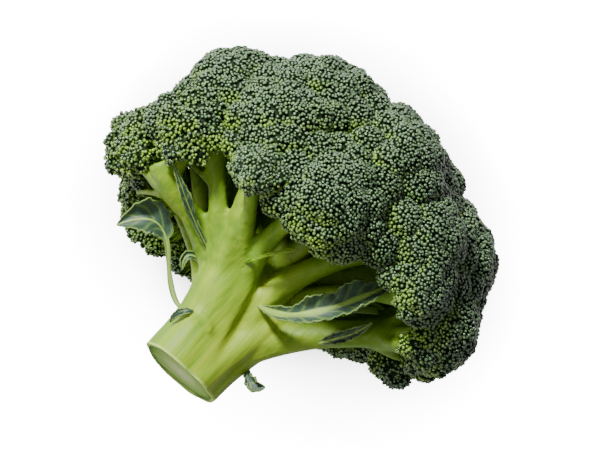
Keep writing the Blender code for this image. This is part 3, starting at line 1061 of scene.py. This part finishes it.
def leaf_material():
    """Blue-green with a waxy bloom, a light midrib that thins to its tip, veins and a pale edge."""
    n = Nodes("leaf_green")
    from_rib, pale, from_edge = n.look()
    blade = n.mix(n.noise(180.0, 3.0), (0.012, 0.042, 0.018, 1), (0.030, 0.080, 0.036, 1))
    bloom = n.ramp(n.noise(90.0, 4.0), [(0.48, (0, 0, 0)), (0.72, (1, 1, 1))])
    blade = n.mix(n.math("MULTIPLY", bloom, 0.35), blade, (0.08, 0.155, 0.11, 1))
    rib = n.ramp(from_rib, [(0.22, (1, 1, 1)), (0.42, (0, 0, 0))])
    edge = n.ramp(from_edge, [(0.02, (0.55, 0.55, 0.55)), (0.10, (0, 0, 0))])
    light = n.math("MAXIMUM", n.math("MAXIMUM", rib, edge), pale)
    n.put(n.mix(light, blade, (0.27, 0.42, 0.06, 1)), n.shader.inputs["Base Color"])
    n.set(Roughness=0.38, Sheen_Weight=0.15)
    n.bump(n.noise(700.0, 3.0), 0.3, 0.0003)
    return n.material


WORLD_LIGHT = 0.27
FLOOR_GLOW = 16.0
FLOOR_SHADE_REACH = 0.05  # metres
FLOOR_SHADE_POWER = 3.0


def floor_material():
    """White, and glowing to the eye as a lit sweep does, with soft shade where the head is near."""
    n = Nodes("floor")
    n.set(Base_Color=(0.88, 0.88, 0.88, 1), Roughness=0.8, Emission_Color=(1, 1, 1, 1))
    seen = n.add("ShaderNodeLightPath").outputs["Is Camera Ray"]
    near = n.add("ShaderNodeAmbientOcclusion", {"Distance": FLOOR_SHADE_REACH}, samples=16)
    shade = n.math("POWER", near.outputs["AO"], FLOOR_SHADE_POWER)
    glow = n.math("MULTIPLY", n.math("MULTIPLY", seen, shade), FLOOR_GLOW)
    n.put(glow, n.shader.inputs["Emission Strength"])
    return n.material


# ---------------------------------------------------------------- stage, light and camera

CAMERA_TURN = math.radians(40.8)
CAMERA_HEIGHT = 1.0
CAMERA_OFFSET = (17.5, 23.8)  # millimetres to the right and up from the crown's rim
VIEW_WIDTH = 232.8  # how many millimetres the view takes in at the level below
VIEW_LEVEL = 0.1
SENSOR_WIDTH = 36


def camera():
    """A camera that looks straight down on the head."""
    rim = to_world(RIM_CENTRE)
    right = np.array([math.cos(CAMERA_TURN), math.sin(CAMERA_TURN), 0])
    up = np.array([-math.sin(CAMERA_TURN), math.cos(CAMERA_TURN), 0])
    centre = rim + (right * CAMERA_OFFSET[0] + up * CAMERA_OFFSET[1]) * MM
    data = bpy.data.cameras.new("camera")
    data.sensor_width = SENSOR_WIDTH
    data.lens = SENSOR_WIDTH * (CAMERA_HEIGHT - VIEW_LEVEL) / (VIEW_WIDTH * MM)
    made = bpy.data.objects.new("camera", data)
    made.location = (centre[0], centre[1], CAMERA_HEIGHT)
    made.rotation_euler = (0, 0, CAMERA_TURN)
    bpy.context.scene.collection.objects.link(made)
    bpy.context.scene.camera = made


HEAD_MIDDLE = 0.07  # how high the lights aim, in metres
FLOOR_SIZE = 3


def light(name, turn, raised, distance, size, power):
    """An area light towards the head. turn 0 comes from the camera's right, and 90 from its top."""
    angle = CAMERA_TURN + math.radians(turn)
    tilt = math.radians(raised)
    flat = math.cos(tilt)
    out = Vector((flat * math.cos(angle), flat * math.sin(angle), math.sin(tilt)))
    data = bpy.data.lights.new(name, "AREA")
    data.shape = "DISK"
    data.size = size
    data.energy = power
    made = bpy.data.objects.new(name, data)
    made.location = Vector((0, 0, HEAD_MIDDLE)) + out * distance
    made.rotation_euler = (-out).to_track_quat("-Z", "Y").to_euler()
    bpy.context.scene.collection.objects.link(made)


def stage():
    """A white floor in a white room, with a key light and a soft fill."""
    bm = bmesh.new()
    bmesh.ops.create_grid(bm, x_segments=1, y_segments=1, size=FLOOR_SIZE)
    mesh = bpy.data.meshes.new("floor")
    bm.to_mesh(mesh)
    bm.free()
    mesh.materials.append(floor_material())
    floor = bpy.data.objects.new("floor", mesh)
    bpy.context.scene.collection.objects.link(floor)
    world = bpy.data.worlds.new("world")
    world.use_nodes = True
    nodes, links = world.node_tree.nodes, world.node_tree.links
    seen = nodes.new("ShaderNodeLightPath").outputs["Is Camera Ray"]
    strength = nodes.new("ShaderNodeMapRange")
    strength.inputs["To Min"].default_value = WORLD_LIGHT
    strength.inputs["To Max"].default_value = FLOOR_GLOW
    links.new(seen, strength.inputs["Value"])
    links.new(strength.outputs[0], nodes["Background"].inputs["Strength"])
    nodes["Background"].inputs["Color"].default_value = (1, 1, 1, 1)
    bpy.context.scene.world = world
    light("key", turn=112, raised=43, distance=0.9, size=0.15, power=19)
    light("fill", turn=-150, raised=40, distance=1.2, size=0.7, power=3.5)


def main():
    rng = np.random.default_rng(SEED)
    buds, flesh = bud_material(), stem_material()
    stalks, green = stalk_material(), leaf_material()
    clusters = clusters_of_crown(rng)
    centres = np.array([c.centre for c in clusters])
    radii = np.array([c.radius for c in clusters])
    for floret in FLORETS:
        floret_piece(floret, clusters, centres, radii, [buds, stalks], rng)
    stem_piece(flesh, rng)
    for leaf in LEAVES:
        leaf_piece(leaf, flesh if leaf.name == "thin_stalk" else green, rng)
    stage()
    camera()


main()
